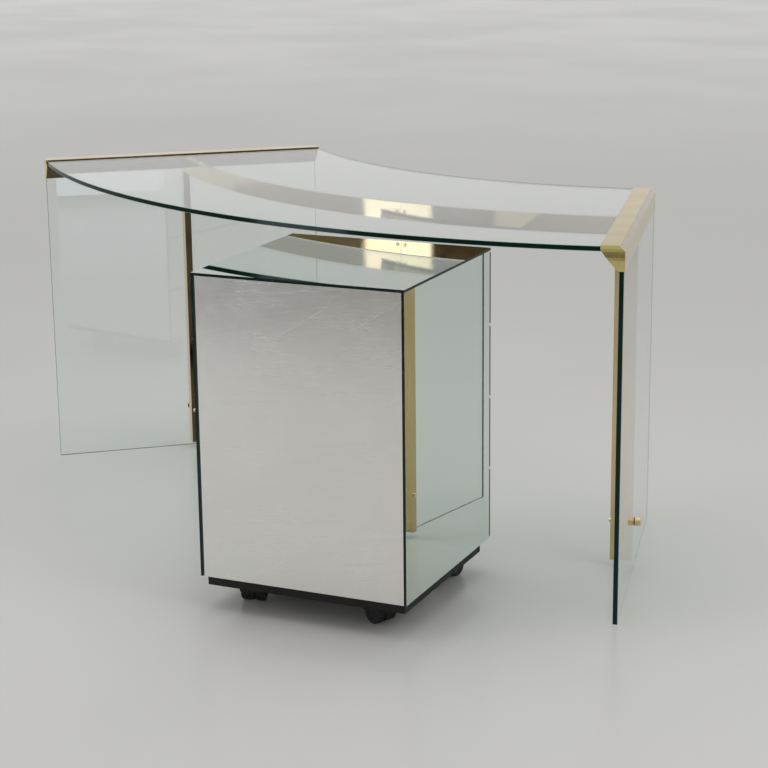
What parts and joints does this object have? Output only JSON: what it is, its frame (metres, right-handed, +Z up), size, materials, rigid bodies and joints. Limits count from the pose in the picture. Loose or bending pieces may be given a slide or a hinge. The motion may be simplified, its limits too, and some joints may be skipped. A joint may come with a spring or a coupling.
{
  "type": "curved glass desk with mirrored rolling pedestal",
  "caption": "Curved clear glass desk on two radial glass panels with a brass frame, and a separate mirror-clad drawer pedestal on casters that rolls under its top.",
  "frame": {"origin": "on the floor under the middle of the whole object's box, as it stands in the rest pose", "axes": "+Z up, +X to the right for someone facing the convex (visitor) side, -Y towards the visitor, +Y towards the user's concave side"},
  "size_m": [1.703, 1.0317, 0.73],
  "materials": {
    "clear_glass": "clear float glass with polished green edges",
    "brass": "polished, slightly aged",
    "black_rubber": "matt",
    "clear_pad": "clear soft plastic",
    "mirror_glass": "silvered glass with polished dark green edges",
    "brushed_steel": "horizontal brushing with fine scratches",
    "black_board": "black melamine",
    "drawer_board": "dark melamine",
    "hardboard": "dark lacquered hardboard",
    "runner_steel": "zinc plated",
    "zinc_steel": "zinc plated",
    "caster_plastic": "black moulded",
    "wheel_plastic": "black moulded, satin from wear"
  },
  "bodies": {
    "desk": {"top_glass": "clear_glass", "left_side_glass": "clear_glass", "right_side_glass": "clear_glass", "left_profile": "brass", "right_profile": "brass", "profile_end_caps": "brass", "setting_blocks": "black_rubber", "left_rail": "brass", "right_rail": "brass", "rail_splice_bar": "brass", "splice_screws": "brass", "left_leg": "brass", "right_leg": "brass", "leg_foot_plugs": "brass", "clamp_spacers": "black_rubber", "clamp_studs": "brass", "clamp_caps": "brass", "rail_pads": "clear_pad"},
    "pedestal": {"carcass_left": "black_board", "carcass_right": "black_board", "carcass_top": "black_board", "carcass_bottom": "black_board", "rear_board": "black_board", "left_mirror": "mirror_glass", "right_mirror": "mirror_glass", "top_mirror": "mirror_glass", "steel_back": "brushed_steel", "base_board": "black_board", "cabinet_runners": "runner_steel", "caster_plates": "zinc_steel", "caster_screws": "zinc_steel"},
    "drawer_1": {"drawer_1_mirror": "mirror_glass", "drawer_1_box": "drawer_board", "drawer_1_bottom": "hardboard", "drawer_1_runners": "runner_steel"},
    "drawer_2": {"drawer_2_mirror": "mirror_glass", "drawer_2_box": "drawer_board", "drawer_2_bottom": "hardboard", "drawer_2_runners": "runner_steel"},
    "drawer_3": {"drawer_3_mirror": "mirror_glass", "drawer_3_box": "drawer_board", "drawer_3_bottom": "hardboard", "drawer_3_runners": "runner_steel"},
    "drawer_4": {"drawer_4_mirror": "mirror_glass", "drawer_4_box": "drawer_board", "drawer_4_bottom": "hardboard", "drawer_4_runners": "runner_steel"},
    "caster_1_swivel": {"caster_1_hood": "caster_plastic", "caster_1_axle": "zinc_steel"},
    "caster_1_wheel_pair": {"caster_1_wheels": "wheel_plastic"},
    "caster_2_swivel": {"caster_2_hood": "caster_plastic", "caster_2_axle": "zinc_steel"},
    "caster_2_wheel_pair": {"caster_2_wheels": "wheel_plastic"},
    "caster_3_swivel": {"caster_3_hood": "caster_plastic", "caster_3_axle": "zinc_steel"},
    "caster_3_wheel_pair": {"caster_3_wheels": "wheel_plastic"},
    "caster_4_swivel": {"caster_4_hood": "caster_plastic", "caster_4_axle": "zinc_steel"},
    "caster_4_wheel_pair": {"caster_4_wheels": "wheel_plastic"}
  },
  "joints": [
    {"name": "pedestal_roll", "type": "slide", "parent": "desk", "child": "pedestal", "axis": [-0.3289, 0.9444, 0], "range_m": [-0.3, 0.7]},
    {"name": "drawer_1_slide", "type": "slide", "parent": "pedestal", "child": "drawer_1", "axis": [-0.3289, 0.9444, 0], "range_m": [0, 0.29]},
    {"name": "drawer_2_slide", "type": "slide", "parent": "pedestal", "child": "drawer_2", "axis": [-0.3289, 0.9444, 0], "range_m": [0, 0.29]},
    {"name": "drawer_3_slide", "type": "slide", "parent": "pedestal", "child": "drawer_3", "axis": [-0.3289, 0.9444, 0], "range_m": [0, 0.29]},
    {"name": "drawer_4_slide", "type": "slide", "parent": "pedestal", "child": "drawer_4", "axis": [-0.3289, 0.9444, 0], "range_m": [0, 0.29]},
    {"name": "caster_1_turn", "type": "hinge", "parent": "pedestal", "child": "caster_1_swivel", "pos_m": [0.24427, -0.42427, 0.05], "axis": [0, 0, 1], "continuous": true},
    {"name": "caster_1_roll", "type": "hinge", "parent": "caster_1_swivel", "child": "caster_1_wheel_pair", "pos_m": [0.23549, -0.40856, 0.021], "axis": [0.8729, 0.4879, 0], "continuous": true},
    {"name": "caster_2_turn", "type": "hinge", "parent": "pedestal", "child": "caster_2_swivel", "pos_m": [0.51814, -0.3289, 0.05], "axis": [0, 0, 1], "continuous": true},
    {"name": "caster_2_roll", "type": "hinge", "parent": "caster_2_swivel", "child": "caster_2_wheel_pair", "pos_m": [0.5002, -0.32739, 0.021], "axis": [0.0837, 0.9965, 0], "continuous": true},
    {"name": "caster_3_turn", "type": "hinge", "parent": "pedestal", "child": "caster_3_swivel", "pos_m": [0.42573, -0.06353, 0.05], "axis": [0, 0, 1], "continuous": true},
    {"name": "caster_3_roll", "type": "hinge", "parent": "caster_3_swivel", "child": "caster_3_wheel_pair", "pos_m": [0.4241, -0.0456, 0.021], "axis": [0.9959, 0.0906, 0], "continuous": true},
    {"name": "caster_4_turn", "type": "hinge", "parent": "pedestal", "child": "caster_4_swivel", "pos_m": [0.15186, -0.1589, 0.05], "axis": [0, 0, 1], "continuous": true},
    {"name": "caster_4_roll", "type": "hinge", "parent": "caster_4_swivel", "child": "caster_4_wheel_pair", "pos_m": [0.13418, -0.15553, 0.021], "axis": [0.1874, 0.9823, 0], "continuous": true}
  ]
}
